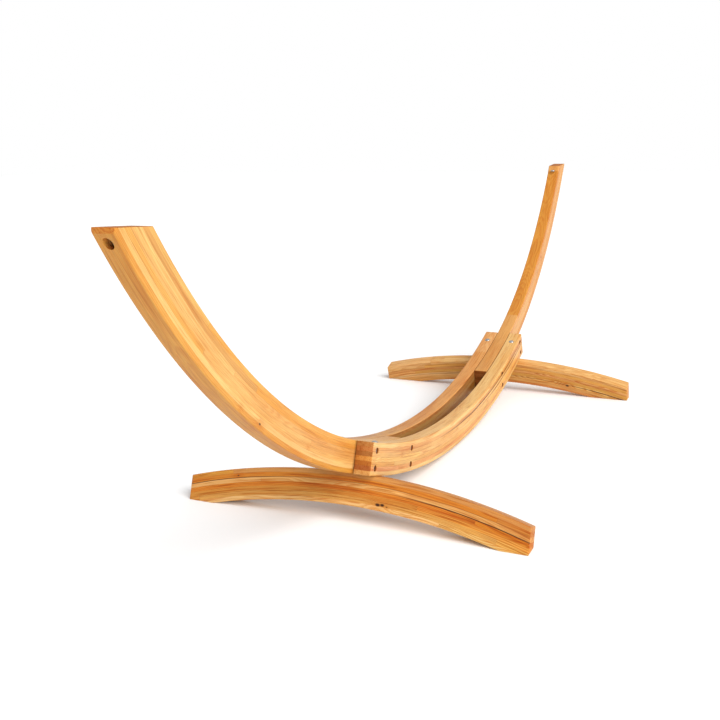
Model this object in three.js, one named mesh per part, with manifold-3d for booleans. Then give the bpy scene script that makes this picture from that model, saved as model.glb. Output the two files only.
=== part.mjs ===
// Free-standing hammock stand in laminated timber: two curved arms are bolted between two curved
// centre rails, and the whole arc stands on two arched cross feet. An eye bolt through each arm's
// tip takes the hammock's end ring.
import * as THREE from "three";
import { mergeVertices } from "three/addons/utils/BufferGeometryUtils.js";
import Module from "manifold-3d";

// Driving dimensions, in millimetres and degrees. +X runs along the stand, +Y across it, +Z up.
// The ground is z = 0, and the middle of the stand is x = y = 0. Angles of the arc are measured
// from its lowest point.
const BEAM_WIDTH = 63;
const BEAM_DEPTH = 115;
const EDGE_ROUND = 4;
const FIT_GAP = 0.3;

const RAIL_RADIUS = 2760; // upper face of the centre rails
const RAIL_CLEARANCE = 15; // lowest point of the rails above the ground
const RAIL_END_ANGLE = 20.15;
const ARM_RADIUS = 2195; // upper face of the arms, past the blend with the rails' curve
const ARM_START_ANGLE = 11.55;
const ARM_BLEND_ANGLE = 17.7;
const TIP_HEIGHT = 1129;
const TIP_FALL = 9; // how much lower the sawn end is at its inner edge
const TIP_NOSE = 14; // height of the small upright facet that blunts the tip

const FOOT_ANGLE = 18.4;
const FOOT_LENGTH = 1290;
const FOOT_RADIUS = 2320; // upper face of the feet, seen along the stand
const FOOT_SEAT = 2; // depth of the flat seat planed into the crown of the foot

const BOLT_DIAMETER = 10;
const BOLT_HOLE = 11;
const HEX_ACROSS_FLATS = 17;
const HEAD_HEIGHT = 6.4;
const NUT_HEIGHT = 8.4;
const NUT_BORE = 10.6;
const WASHER_THICKNESS = 2;
const THREAD_PAST_NUT = 2.5;
const ROUND_HEAD_DIAMETER = 24;
const ROUND_HEAD_HEIGHT = 5;
const ROUND_HEAD_RIM = 1;
const NECK_WIDTH = 10; // square neck under a round head
const NECK_LENGTH = 6;
const WASHER_DIAMETER = { joint: 21, foot: 24, eye: 25 };
const COUNTERBORE = { joint: 22, foot: 26, eye: 27 };
const COUNTERBORE_DEPTH = { joint: 14.5, foot: 24, eye: 36 };

const BOLT_FROM_ARM_END = 45; // joint bolts, along the arc from the hidden end of the arm
const BOLT_FROM_RAIL_END = 40;
const BOLT_DEPTHS = [27, 88]; // joint bolts, below the upper face

const EYE_HEIGHT = 1092;
const EYE_RING_RADIUS = 9; // centre line of the ring
const EYE_WIRE = 7;
const EYE_NECK = 1.2; // from the wood to the ring

// How finely the solids are faceted.
const ARC_STEP = 1.5;
const HOLE_SIDES = 12;
const ROUND_SIDES = 16;

const RAIL_CENTRE_Z = RAIL_CLEARANCE + BEAM_DEPTH + RAIL_RADIUS;
const RAIL_OFFSET_Y = BEAM_WIDTH + FIT_GAP;
const FACET_RISE = RAIL_RADIUS * (1 - Math.cos(radians(ARC_STEP / 2))); // facets over true curve
const ARM_CENTRE_X = (RAIL_RADIUS - ARM_RADIUS) * Math.sin(radians(ARM_BLEND_ANGLE));
const ARM_CENTRE_Z =
  RAIL_CENTRE_Z - (RAIL_RADIUS - ARM_RADIUS) * Math.cos(radians(ARM_BLEND_ANGLE));
// Where the level bore through an arm's tip crosses its inner and outer faces.
const EYE_ENTRY_X = armPoint(armAngleAt(EYE_HEIGHT, 0), 0).x;
const EYE_EXIT_X = armPoint(armAngleAt(EYE_HEIGHT, BEAM_DEPTH), BEAM_DEPTH).x;

const WOOD = new THREE.MeshStandardMaterial({ color: 0xe0a050, roughness: 0.5, metalness: 0 });
const STEEL = new THREE.MeshStandardMaterial({ color: 0xa9abad, roughness: 0.35, metalness: 1 });

const wasm = await Module();
wasm.setup();

function radians(degrees) {
  return (degrees * Math.PI) / 180;
}

// A closed three.js geometry as a manifold-3d solid.
function solid(geometry) {
  const bare = geometry.clone();
  bare.deleteAttribute("normal");
  bare.deleteAttribute("uv");
  const merged = mergeVertices(bare, 1e-4);
  const index = merged.index.array;
  const triangles = [];
  for (let i = 0; i < index.length; i += 3) {
    const [a, b, c] = index.slice(i, i + 3);
    if (a !== b && b !== c && c !== a) triangles.push(a, b, c);
  }
  const vertProperties = merged.attributes.position.array;
  const triVerts = new Uint32Array(triangles);
  return new wasm.Manifold(new wasm.Mesh({ numProp: 3, vertProperties, triVerts }));
}

// A manifold-3d solid as a geometry to draw.
function drawable(manifold) {
  const { numProp, vertProperties, triVerts } = manifold.getMesh();
  const positions = new Float32Array((vertProperties.length / numProp) * 3);
  for (let i = 0; i < positions.length / 3; i++) {
    positions.set(vertProperties.subarray(i * numProp, i * numProp + 3), i * 3);
  }
  const geometry = new THREE.BufferGeometry();
  geometry.setAttribute("position", new THREE.BufferAttribute(positions, 3));
  geometry.setIndex(new THREE.BufferAttribute(triVerts, 1));
  geometry.computeVertexNormals();
  return geometry;
}

// A round bar about `axis` (X, Y or Z), from one coordinate to another along it.
function roundBar(axis, diameter, from, to, sides = HOLE_SIDES) {
  const bar = new THREE.CylinderGeometry(diameter / 2, diameter / 2, to - from, sides);
  bar.translate(0, (from + to) / 2, 0);
  if (axis === "X") bar.rotateZ(-Math.PI / 2);
  if (axis === "Z") bar.rotateX(Math.PI / 2);
  return bar;
}

// A turned solid about Z from its profile of [radius, height] points, going up the outside.
function turned(profile, sides = ROUND_SIDES) {
  const points = profile.map(([radius, height]) => new THREE.Vector2(radius, height));
  return new THREE.LatheGeometry(points, sides).rotateX(Math.PI / 2);
}

// A point of the side view: `depth` below the upper face of the rails, at an angle of the arc.
function railPoint(angle, depth) {
  const radius = RAIL_RADIUS + depth;
  const turn = radians(angle);
  return new THREE.Vector2(radius * Math.sin(turn), RAIL_CENTRE_Z - radius * Math.cos(turn));
}

// The same for an arm, which follows the rails' curve and then bends up more tightly.
function armPoint(angle, depth) {
  if (angle <= ARM_BLEND_ANGLE) return railPoint(angle, depth);
  const radius = ARM_RADIUS + depth;
  const turn = radians(angle);
  return new THREE.Vector2(
    ARM_CENTRE_X + radius * Math.sin(turn),
    ARM_CENTRE_Z - radius * Math.cos(turn),
  );
}

// The angle at which an arm's curve, `depth` below its upper face, reaches a height.
function armAngleAt(height, depth) {
  return (Math.acos((ARM_CENTRE_Z - height) / (ARM_RADIUS + depth)) * 180) / Math.PI;
}

// Points along a curve from one angle to another, in even steps.
function along(curve, from, to, depth) {
  const steps = Math.ceil(Math.abs(to - from) / ARC_STEP);
  const points = [];
  for (let i = 0; i <= steps; i++) points.push(curve(from + ((to - from) * i) / steps, depth));
  return points;
}

// A beam of the stock section with rounded long edges, from its outline in X and Y, centred on Z.
function beam(outline) {
  const geometry = new THREE.ExtrudeGeometry(new THREE.Shape(outline), {
    depth: BEAM_WIDTH - 2 * EDGE_ROUND,
    steps: 1,
    bevelThickness: EDGE_ROUND,
    bevelSize: EDGE_ROUND,
    bevelOffset: -EDGE_ROUND,
    bevelSegments: 1,
  });
  return geometry.translate(0, 0, EDGE_ROUND - BEAM_WIDTH / 2);
}

// Where the joint bolts cross the side view of the right-hand joint.
function jointBoltPoints() {
  const middleRadius = RAIL_RADIUS + BEAM_DEPTH / 2;
  const perMillimetre = 180 / Math.PI / middleRadius;
  const rows = [
    ARM_START_ANGLE + BOLT_FROM_ARM_END * perMillimetre,
    RAIL_END_ANGLE - BOLT_FROM_RAIL_END * perMillimetre,
  ];
  return rows.flatMap((angle) => BOLT_DEPTHS.map((depth) => railPoint(angle, depth)));
}

// Right-hand arm in its place: curved up from the joint, sawn nearly level at the tip, bored for four
// joint bolts and for the eye bolt, whose nut sits in a deep counterbore in the outer face.
function armGeometry() {
  const innerTip = armAngleAt(TIP_HEIGHT - TIP_FALL, 0);
  const outerTip = armAngleAt(TIP_HEIGHT - TIP_NOSE, BEAM_DEPTH);
  const upper = along(armPoint, ARM_START_ANGLE, innerTip, 0);
  const lower = along(armPoint, outerTip, ARM_START_ANGLE, BEAM_DEPTH);
  const nose = new THREE.Vector2(lower[0].x, TIP_HEIGHT);
  const outline = [...upper, nose, ...lower].reverse();
  let arm = solid(beam(outline).rotateX(Math.PI / 2));
  for (const point of jointBoltPoints()) {
    const bore = roundBar("Y", BOLT_HOLE, -BEAM_WIDTH, BEAM_WIDTH);
    arm = arm.subtract(solid(bore.translate(point.x, 0, point.y)));
  }
  const eyeBore = roundBar("X", BOLT_HOLE, EYE_ENTRY_X - BEAM_DEPTH, EYE_EXIT_X + BEAM_DEPTH);
  arm = arm.subtract(solid(eyeBore.translate(0, 0, EYE_HEIGHT)));
  const pocketFloor = EYE_EXIT_X - COUNTERBORE_DEPTH.eye;
  const pocket = roundBar("X", COUNTERBORE.eye, pocketFloor, EYE_EXIT_X + BEAM_DEPTH, ROUND_SIDES);
  return drawable(arm.subtract(solid(pocket.translate(0, 0, EYE_HEIGHT))));
}

// Centre rail about its own middle plane, with its counterbored face towards -Y.
function railGeometry() {
  const upper = along(railPoint, -RAIL_END_ANGLE, RAIL_END_ANGLE, 0);
  const lower = along(railPoint, RAIL_END_ANGLE, -RAIL_END_ANGLE, BEAM_DEPTH);
  let rail = solid(beam([...upper, ...lower].reverse()).rotateX(Math.PI / 2));
  const face = -BEAM_WIDTH / 2;
  for (const side of [-1, 1]) {
    for (const point of jointBoltPoints()) {
      const bore = roundBar("Y", BOLT_HOLE, -BEAM_WIDTH, BEAM_WIDTH);
      const pocketFloor = face + COUNTERBORE_DEPTH.joint;
      const pocket = roundBar("Y", COUNTERBORE.joint, -BEAM_WIDTH, pocketFloor, ROUND_SIDES);
      for (const cut of [bore, pocket]) {
        rail = rail.subtract(solid(cut.translate(side * point.x, 0, point.y)));
      }
    }
    const footBore = roundBar("Z", BOLT_HOLE, -RAIL_RADIUS - 2 * BEAM_DEPTH, -RAIL_RADIUS / 2);
    footBore.rotateY(-side * radians(FOOT_ANGLE));
    const neckRoom = NECK_WIDTH + 2 * FIT_GAP;
    const neckHole = new THREE.BoxGeometry(neckRoom, neckRoom, 2 * (NECK_LENGTH + FIT_GAP));
    neckHole.translate(0, 0, -RAIL_RADIUS).rotateY(-side * radians(FOOT_ANGLE));
    for (const cut of [footBore, neckHole]) {
      rail = rail.subtract(solid(cut.translate(0, 0, RAIL_CENTRE_Z)));
    }
  }
  return drawable(rail);
}

// Where a foot stands and how it leans: its seat is square to the underside of the arc.
function footPlacement() {
  const seat = railPoint(FOOT_ANGLE, BEAM_DEPTH + FIT_GAP);
  const placement = new THREE.Object3D();
  placement.position.set(seat.x, 0, seat.y);
  placement.rotation.y = -radians(FOOT_ANGLE);
  placement.updateMatrix();
  return placement;
}

// Cross foot about the middle of its seat: arched, cut off level where it meets the ground, with
// a flat seat for the arc and two bores whose nuts sit in counterbores underneath.
function footGeometry() {
  const centre = FOOT_SEAT - FOOT_RADIUS;
  const half = FOOT_LENGTH / 2;
  const undersideRadius = FOOT_RADIUS - BEAM_DEPTH;
  const arch = (angle, radius) =>
    new THREE.Vector2(radius * Math.sin(radians(angle)), centre + radius * Math.cos(radians(angle)));
  const reach = (radius) => (Math.asin(half / radius) * 180) / Math.PI;
  const top = along(arch, -reach(FOOT_RADIUS), reach(FOOT_RADIUS), FOOT_RADIUS);
  const under = along(arch, reach(undersideRadius), -reach(undersideRadius), undersideRadius);
  const upright = new THREE.Matrix4().makeBasis(
    new THREE.Vector3(0, 1, 0),
    new THREE.Vector3(0, 0, 1),
    new THREE.Vector3(1, 0, 0),
  );
  let foot = solid(beam([...top, ...under].reverse()).applyMatrix4(upright));
  const seatBlock = new THREE.BoxGeometry(2 * BEAM_WIDTH, 3 * RAIL_OFFSET_Y, BEAM_WIDTH);
  foot = foot.subtract(solid(seatBlock.translate(0, 0, BEAM_WIDTH / 2)));
  const size = 4 * FOOT_LENGTH;
  const ground = new THREE.BoxGeometry(size, size, size).translate(0, 0, -size / 2);
  ground.applyMatrix4(footPlacement().matrix.clone().invert());
  foot = foot.subtract(solid(ground));
  for (const side of [-1, 1]) {
    const bore = roundBar("Z", BOLT_HOLE, -2 * BEAM_DEPTH, BEAM_DEPTH);
    const pocketFloor = COUNTERBORE_DEPTH.foot - BEAM_DEPTH;
    const pocket = roundBar("Z", COUNTERBORE.foot, -2 * BEAM_DEPTH, pocketFloor, ROUND_SIDES);
    for (const cut of [bore, pocket]) {
      foot = foot.subtract(solid(cut.translate(0, side * RAIL_OFFSET_Y, 0)));
    }
  }
  return drawable(foot);
}

// A hexagonal blank from z = 0 upwards, its top corners chamfered.
function hexBlank(height) {
  const corner = HEX_ACROSS_FLATS / 2 / Math.cos(Math.PI / 6);
  const prism = new THREE.CylinderGeometry(corner, corner, height, 6).rotateX(Math.PI / 2);
  const chamfer = turned([
    [0, -1],
    [corner + 1, -1],
    [corner + 1, height - 1.6],
    [corner - 1.6, height],
    [0, height],
  ]);
  return solid(prism.translate(0, 0, height / 2)).intersect(solid(chamfer));
}

// Round shank from z = 1 down to its chamfered end.
function shankSolid(length) {
  const radius = BOLT_DIAMETER / 2;
  const shank = turned(
    [
      [0, -length],
      [radius - 1, -length],
      [radius, 1 - length],
      [radius, 1],
      [0, 1],
    ],
    HOLE_SIDES,
  );
  return solid(shank);
}

// Hexagon bolt: the underside of the head is z = 0, and the shank runs down.
function hexBoltGeometry(length) {
  return drawable(hexBlank(HEAD_HEIGHT).add(shankSolid(length)));
}

// Round-headed bolt: a low dome over a square neck, which keeps the bolt from turning.
function roundBoltGeometry(length) {
  const rim = ROUND_HEAD_DIAMETER / 2;
  const rise = ROUND_HEAD_HEIGHT - ROUND_HEAD_RIM;
  const domeRadius = (rim ** 2 + rise ** 2) / (2 * rise);
  const profile = [
    [0, 0],
    [rim, 0],
  ];
  for (let i = 4; i >= 0; i--) {
    const radius = (rim * i) / 4;
    const drop = domeRadius - Math.sqrt(domeRadius ** 2 - radius ** 2);
    profile.push([radius, ROUND_HEAD_HEIGHT - drop]);
  }
  const neck = new THREE.BoxGeometry(NECK_WIDTH, NECK_WIDTH, NECK_LENGTH + 1);
  neck.translate(0, 0, (1 - NECK_LENGTH) / 2);
  return drawable(solid(turned(profile)).add(solid(neck)).add(shankSolid(length)));
}

// Hexagon nut standing on z = 0.
function nutGeometry() {
  const bore = roundBar("Z", NUT_BORE, -NUT_HEIGHT, 2 * NUT_HEIGHT);
  return drawable(hexBlank(NUT_HEIGHT).subtract(solid(bore)));
}

// Plain washer lying on z = 0.
function washerGeometry(diameter) {
  const inner = NUT_BORE / 2;
  const outer = diameter / 2;
  return turned([
    [inner, 0],
    [outer, 0],
    [outer, WASHER_THICKNESS],
    [inner, WASHER_THICKNESS],
    [inner, 0],
  ]);
}

// Eye bolt: the wood's face is x = 0, the ring lies level on the -X side, and the shank runs to +X.
function eyeBoltGeometry(length) {
  const ringCentre = -(EYE_NECK + EYE_WIRE / 2 + EYE_RING_RADIUS);
  const ring = new THREE.TorusGeometry(EYE_RING_RADIUS, EYE_WIRE / 2, 10, 2 * ROUND_SIDES);
  const shank = roundBar("X", BOLT_DIAMETER, ringCentre + EYE_RING_RADIUS, length);
  return drawable(solid(ring.translate(ringCentre, 0, 0)).add(solid(shank)));
}

function place(group, name, geometry, material, position = [0, 0, 0], rotation = [0, 0, 0]) {
  const mesh = new THREE.Mesh(geometry, material);
  mesh.name = name;
  mesh.position.set(...position);
  mesh.rotation.set(...rotation);
  group.add(mesh);
}

// A stack of bolt, washers and nut about Z: the head's washer, or the round head itself, lies on
// z = 0, and the nut's washer lies `grip` below it.
function boltStack(name, washerDiameter, grip, turn, roundHead = false) {
  const stack = new THREE.Group();
  const overWasher = FIT_GAP + WASHER_THICKNESS + FIT_GAP;
  const underHead = roundHead ? FIT_GAP : overWasher;
  const nutFace = -grip - overWasher;
  const length = underHead - nutFace + NUT_HEIGHT + THREAD_PAST_NUT;
  const washer = washerGeometry(washerDiameter);
  const upsideDown = [Math.PI, 0, 0];
  const bolt = roundHead ? roundBoltGeometry(length) : hexBoltGeometry(length);
  place(stack, `${name}_bolt`, bolt, STEEL, [0, 0, underHead], [0, 0, roundHead ? 0 : turn]);
  if (!roundHead) place(stack, `${name}_head_washer`, washer, STEEL, [0, 0, FIT_GAP]);
  place(stack, `${name}_nut_washer`, washer, STEEL, [0, 0, -grip - FIT_GAP], upsideDown);
  place(stack, `${name}_nut`, nutGeometry(), STEEL, [0, 0, nutFace], [Math.PI, 0, turn]);
  return stack;
}

// The four through bolts of one joint, heads to the front.
function jointBolts(sideName, side) {
  const group = new THREE.Group();
  const floor = RAIL_OFFSET_Y + BEAM_WIDTH / 2 - COUNTERBORE_DEPTH.joint;
  const places = ["inner_upper", "inner_lower", "outer_upper", "outer_lower"];
  jointBoltPoints().forEach((point, i) => {
    const name = `${sideName}_joint_${places[i]}`;
    const stack = boltStack(name, WASHER_DIAMETER.joint, 2 * floor, radians(8 + 13 * i));
    stack.position.set(side * point.x, -floor, point.y);
    stack.rotation.x = Math.PI / 2;
    group.add(stack);
  });
  return group;
}

// The two round-headed bolts that hold one foot under the rails, placed for the right-hand foot.
function footBolts(sideName, frontIsNegativeY) {
  const group = new THREE.Group();
  const grip = 2 * BEAM_DEPTH + FIT_GAP + FACET_RISE - COUNTERBORE_DEPTH.foot;
  const head = railPoint(FOOT_ANGLE, -FACET_RISE);
  for (const ySide of [-1, 1]) {
    const end = (ySide < 0) === frontIsNegativeY ? "front" : "back";
    const turn = radians(12 + 9 * ySide);
    const stack = boltStack(`${sideName}_foot_${end}`, WASHER_DIAMETER.foot, grip, turn, true);
    stack.position.set(head.x, ySide * RAIL_OFFSET_Y, head.y);
    stack.rotation.y = -radians(FOOT_ANGLE);
    group.add(stack);
  }
  return group;
}

// The eye bolt of one arm with its washer and nut, placed for the right-hand arm.
function eyeFitting(sideName) {
  const group = new THREE.Group();
  const floor = EYE_EXIT_X - COUNTERBORE_DEPTH.eye;
  const nutFace = floor + FIT_GAP + WASHER_THICKNESS + FIT_GAP;
  const length = nutFace + NUT_HEIGHT + THREAD_PAST_NUT - EYE_ENTRY_X;
  const towardsTip = [0, Math.PI / 2, 0];
  const washer = washerGeometry(WASHER_DIAMETER.eye);
  const at = (x) => [x, 0, EYE_HEIGHT];
  place(group, `${sideName}_eye_bolt`, eyeBoltGeometry(length), STEEL, at(EYE_ENTRY_X));
  place(group, `${sideName}_eye_washer`, washer, STEEL, at(floor + FIT_GAP), towardsTip);
  place(group, `${sideName}_eye_nut`, nutGeometry(), STEEL, at(nutFace), towardsTip);
  return group;
}

const stand = new THREE.Group();
const railShape = railGeometry();
place(stand, "front_rail", railShape, WOOD, [0, -RAIL_OFFSET_Y, 0]);
place(stand, "back_rail", railShape, WOOD, [0, RAIL_OFFSET_Y, 0], [0, 0, Math.PI]);

const armShape = armGeometry();
const footShape = footGeometry();
for (const [sideName, side] of [
  ["left", -1],
  ["right", 1],
]) {
  const end = new THREE.Group();
  end.rotation.z = side < 0 ? Math.PI : 0;
  place(end, `${sideName}_arm`, armShape, WOOD);
  const { position, rotation } = footPlacement();
  place(end, `${sideName}_foot`, footShape, WOOD, position.toArray(), [0, rotation.y, 0]);
  end.add(footBolts(sideName, side > 0), eyeFitting(sideName));
  stand.add(end, jointBolts(sideName, side));
}

export default stand;
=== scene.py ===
import math

import bmesh
import bpy
from mathutils import Matrix, Vector


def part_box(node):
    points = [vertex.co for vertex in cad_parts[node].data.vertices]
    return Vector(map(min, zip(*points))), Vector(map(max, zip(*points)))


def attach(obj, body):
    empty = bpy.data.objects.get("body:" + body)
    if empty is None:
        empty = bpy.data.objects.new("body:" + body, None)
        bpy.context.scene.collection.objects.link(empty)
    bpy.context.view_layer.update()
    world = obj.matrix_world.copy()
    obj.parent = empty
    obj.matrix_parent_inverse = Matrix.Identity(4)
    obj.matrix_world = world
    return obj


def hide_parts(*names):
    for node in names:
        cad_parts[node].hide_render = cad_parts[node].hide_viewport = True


# The looks of a timber hammock stand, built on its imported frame. Metres; +X runs along the stand,
# +Y across it and +Z up, with the ground at z = 0 and the middle of the stand at x = y = 0.
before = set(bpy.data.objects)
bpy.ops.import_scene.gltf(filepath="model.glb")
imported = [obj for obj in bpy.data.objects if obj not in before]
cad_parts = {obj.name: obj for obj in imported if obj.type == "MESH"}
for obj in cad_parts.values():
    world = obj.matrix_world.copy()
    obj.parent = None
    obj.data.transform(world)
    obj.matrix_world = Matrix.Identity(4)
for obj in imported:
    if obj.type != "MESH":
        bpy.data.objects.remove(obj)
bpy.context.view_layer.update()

# --- Centre rails ---------------------------------------------------------------------------------
# Two curved beams that clamp the arms between them. Each is glued up from seven planed larch boards
# bent to one arc and oiled to a satin finish. Eight joint bolts pass through it, their ends in
# counterbores in the outer face, and two foot bolts pass straight down through it.
FIT_GAP = 0.0003
BEAM_DEPTH = 0.115
BOARDS = 7
BOARD = BEAM_DEPTH / BOARDS
RAIL_RADIUS = 2.760  # hollow side, which is the upper face
RAIL_END = math.radians(20.15)
ARM_START = math.radians(11.55)  # hidden ends of the arms between the rails
SWEEP_STEP = math.radians(0.5)
LONG_EDGE = 0.004  # rounding of the long edges
SAWN_EDGE = 0.003  # rounding of the rails' sawn ends
RIM_EDGE = 0.0008  # eased mouth of a bored hole
BOLT_HOLE = 0.011
JOINT_COUNTERBORE = 0.022
NECK_SOCKET = 0.0106  # square, for the neck under a foot bolt's round head
NECK_SOCKET_DEPTH = 0.0063
FOOT_LEAN = math.radians(18.4)  # where the foot bolts pass, and how far the feet lean
SLOT_PAINTED_SHADE = 0.6  # painted shade in the slot between the rails: how much darker than planed faces it is drawn
# painted shade on the walls of the joint counterbores
POCKET_PAINTED_SHADE = 0.9
GROOVE_SHADE_REACH = 0.0028  # how far the painted shade along a clamped joint's groove spreads from the joint
ENDS = ("left", "right")
JOINT_PLACES = ("inner_upper", "inner_lower", "outer_upper", "outer_lower")

rail_low, rail_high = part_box("front_rail")
BEAM_WIDTH = rail_high.y - rail_low.y
RAIL_Y = (rail_low.y + rail_high.y) / 2
RAIL_CENTRE = Vector((0, 0, rail_low.z + BEAM_DEPTH + RAIL_RADIUS))


def select_only(piece):
    bpy.ops.object.select_all(action="DESELECT")
    piece.select_set(True)
    bpy.context.view_layer.objects.active = piece


def edit(piece):
    select_only(piece)
    bpy.ops.object.mode_set(mode="EDIT")
    bpy.ops.mesh.select_all(action="SELECT")


def leave_edit():
    bpy.ops.object.mode_set(mode="OBJECT")


def pick(piece, kind, wanted):
    """Opens a piece for editing with only those edges or faces selected that `wanted` accepts."""
    edit(piece)
    bpy.ops.mesh.select_all(action="DESELECT")
    bpy.ops.mesh.select_mode(type=kind)
    shape = bmesh.from_edit_mesh(piece.data)
    for part in shape.edges if kind == "EDGE" else shape.faces:
        part.select_set(wanted(part))
    bmesh.update_edit_mesh(piece.data)


def apply_place(piece):
    """Moves an object's place, turn and size into its mesh."""
    select_only(piece)
    bpy.ops.object.transform_apply(location=True, rotation=True, scale=True)


def close_up(piece):
    """Merges doubled points and turns all faces outwards."""
    edit(piece)
    bpy.ops.mesh.remove_doubles(threshold=1e-6)
    bpy.ops.mesh.normals_make_consistent(inside=False)
    leave_edit()


def start_beam(name, centre, across, radius, angle):
    """The first section of a beam: its boards, facing along an arc at one angle of it."""
    middle = radius + BEAM_DEPTH / 2
    outwards = Vector((math.sin(angle), 0, -math.cos(angle)))
    place = Vector((centre.x, across, centre.z)) + middle * outwards
    bpy.ops.mesh.primitive_grid_add(
        x_subdivisions=BOARDS, y_subdivisions=1, size=1,
        location=place, rotation=(0, math.pi / 2 - angle, 0),
    )
    beam = bpy.context.object
    beam.name = name
    beam.scale = (BEAM_DEPTH, BEAM_WIDTH, 1)
    apply_place(beam)
    edit(beam)
    return beam


def bend_on(centre, turn):
    """Carries the open section of the beam being edited further along an arc."""
    steps = math.ceil(abs(turn) / SWEEP_STEP)
    bpy.ops.mesh.spin(steps=steps, angle=turn, center=centre, axis=(0, 1, 0))


def saw(piece, point, outwards):
    """Cuts off what lies beyond a plane and closes the cut."""
    edit(piece)
    bpy.ops.mesh.bisect(plane_co=point, plane_no=outwards, use_fill=True, clear_outer=True)
    leave_edit()


def round_edges(piece, width, segments, wanted):
    """Rounds those sharp outer edges of a beam that `wanted` accepts."""
    sharp = math.radians(50)

    def sharp_and_wanted(edge):
        return edge.is_convex and edge.calc_face_angle(0) > sharp and wanted(edge)

    pick(piece, "EDGE", sharp_and_wanted)
    bpy.ops.mesh.bevel(offset=width, segments=segments, profile=0.5, clamp_overlap=False)
    leave_edit()


def drill_bit(wide, narrow, pocket):
    """A counterbore bit about Z: wide from z = 0 up by `pocket`, with a narrow pilot below."""
    pilot = 0.4
    bpy.ops.mesh.primitive_cylinder_add(
        vertices=48, radius=wide / 2, depth=pocket, location=(0, 0, pocket / 2)
    )
    bit = bpy.context.object
    apply_place(bit)
    pick(bit, "FACE", lambda face: face.normal.z < -0.9)
    bpy.ops.mesh.inset(thickness=(wide - narrow) / 2)
    bpy.ops.mesh.extrude_region_move(TRANSFORM_OT_translate={"value": (0, 0, -pilot)})
    leave_edit()
    return bit


def plain_bit(diameter, length):
    bpy.ops.mesh.primitive_cylinder_add(vertices=32, radius=diameter / 2, depth=length)
    return bpy.context.object


def pointed(piece, point, direction):
    """Stands a piece, made about Z, on a point along a direction."""
    upright = Vector(direction).to_track_quat("Z", "Y").to_matrix().to_4x4()
    piece.matrix_world = Matrix.Translation(point) @ upright
    apply_place(piece)
    return piece


def copy_of(piece, name=None):
    twin = piece.copy()
    twin.data = piece.data.copy()
    bpy.context.scene.collection.objects.link(twin)
    if name:
        twin.name = name
    return twin


def joined(pieces):
    bpy.ops.object.select_all(action="DESELECT")
    for piece in pieces:
        piece.select_set(True)
    bpy.context.view_layer.objects.active = pieces[0]
    bpy.ops.object.join()
    return pieces[0]


def combine(piece, tool, operation):
    """Cuts or joins a piece with a closed tool, which is used up."""
    change = piece.modifiers.new("combine", "BOOLEAN")
    change.operation = operation
    change.solver = "EXACT"
    change.object = tool
    select_only(piece)
    bpy.ops.object.modifier_apply(modifier=change.name)
    bpy.data.objects.remove(tool)


def bore(piece, bits):
    combine(piece, joined(bits), "DIFFERENCE")


def joint_axes(end):
    """Where the joint bolts of one end cross the middle plane, as the frame has them."""
    axes = []
    for place in JOINT_PLACES:
        low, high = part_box(f"{end}_joint_{place}_bolt")
        axes.append(Vector(((low.x + high.x) / 2, 0, (low.z + high.z) / 2)))
    return axes


JOINT_AXES = {end: joint_axes(end) for end in ENDS}


class Arc:
    """A stretch of a beam about one centre, up to an angle from its lowest point."""

    def __init__(self, centre, radius, up_to, start=0.0):
        self.centre = centre
        self.radius = radius
        self.up_to = up_to
        self.start = start  # length of the beam's middle line where the angle would be 0

    def angle(self, point):
        return math.atan2(point.x - self.centre.x, self.centre.z - point.z)

    def lay(self, point):
        """Along the beam, across it, and down from its hollow side."""
        off = Vector((point.x - self.centre.x, self.centre.z - point.z))
        along = self.start + self.angle(point) * (self.radius + BEAM_DEPTH / 2)
        return along, point.y, off.length - self.radius

    def grain(self, point):
        angle = self.angle(point)
        return Vector((math.cos(angle), 0, math.sin(angle)))


def mark_grain(piece, arcs, middle_y=0.0, shade_at=None):
    """Writes on the mesh where each point lies in the glued beam, how far each face cuts across the
    grain, and how much shade is painted at each point in creases and recesses against the next
    piece."""
    select_only(piece)
    bpy.ops.object.shade_smooth_by_angle(angle=math.radians(32))
    mesh = piece.data
    arc_of = [
        next(arc for arc in arcs if arc.angle(vertex.co) <= arc.up_to or arc is arcs[-1])
        for vertex in mesh.vertices
    ]
    lay = mesh.attributes.new("lay", "FLOAT_VECTOR", "POINT")
    for vertex, arc, entry in zip(mesh.vertices, arc_of, lay.data):
        along, across, down = arc.lay(vertex.co)
        entry.vector = (along, across - middle_y, down)
    cut = mesh.attributes.new("cut", "FLOAT", "CORNER")
    for loop, normal, entry in zip(mesh.loops, mesh.corner_normals, cut.data):
        grain = arc_of[loop.vertex_index].grain(mesh.vertices[loop.vertex_index].co)
        entry.value = abs(normal.vector.dot(grain))
    # Painted shade: darker colour in creases and recesses, where shade falls.
    painted_shade = mesh.attributes.new("painted_shade", "FLOAT", "POINT")
    for vertex, entry in zip(mesh.vertices, painted_shade.data):
        entry.value = shade_at(vertex.co) if shade_at else 0.0


def painted_joint_shade(point):
    """How much shade is painted at a point: in the groove between an arm and a rail where they are
    clamped, in one of the counterbores, or in the slot between the rails, all places that lie in
    shade."""
    angle = abs(math.atan2(point.x, RAIL_CENTRE.z - point.z))
    near = 0.002
    if angle < ARM_START - near:
        return SLOT_PAINTED_SHADE if abs(point.y) < BEAM_WIDTH / 2 + RIM_EDGE else 0.0
    if angle > RAIL_END + near:
        return 0.0
    from_joint = abs(abs(point.y) - BEAM_WIDTH / 2 - FIT_GAP / 2)
    groove_shade = max(0.0, 1 - from_joint / GROOVE_SHADE_REACH)
    axes = JOINT_AXES["left" if point.x < 0 else "right"]
    from_bolt = min(math.hypot(point.x - axis.x, point.z - axis.z) for axis in axes)
    below_face = abs(point.y) < abs(rail_low.y) - 0.0006
    in_pocket = below_face and from_bolt < JOINT_COUNTERBORE / 2 + 0.0003
    return max(groove_shade, POCKET_PAINTED_SHADE if in_pocket else 0.0)


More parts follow.
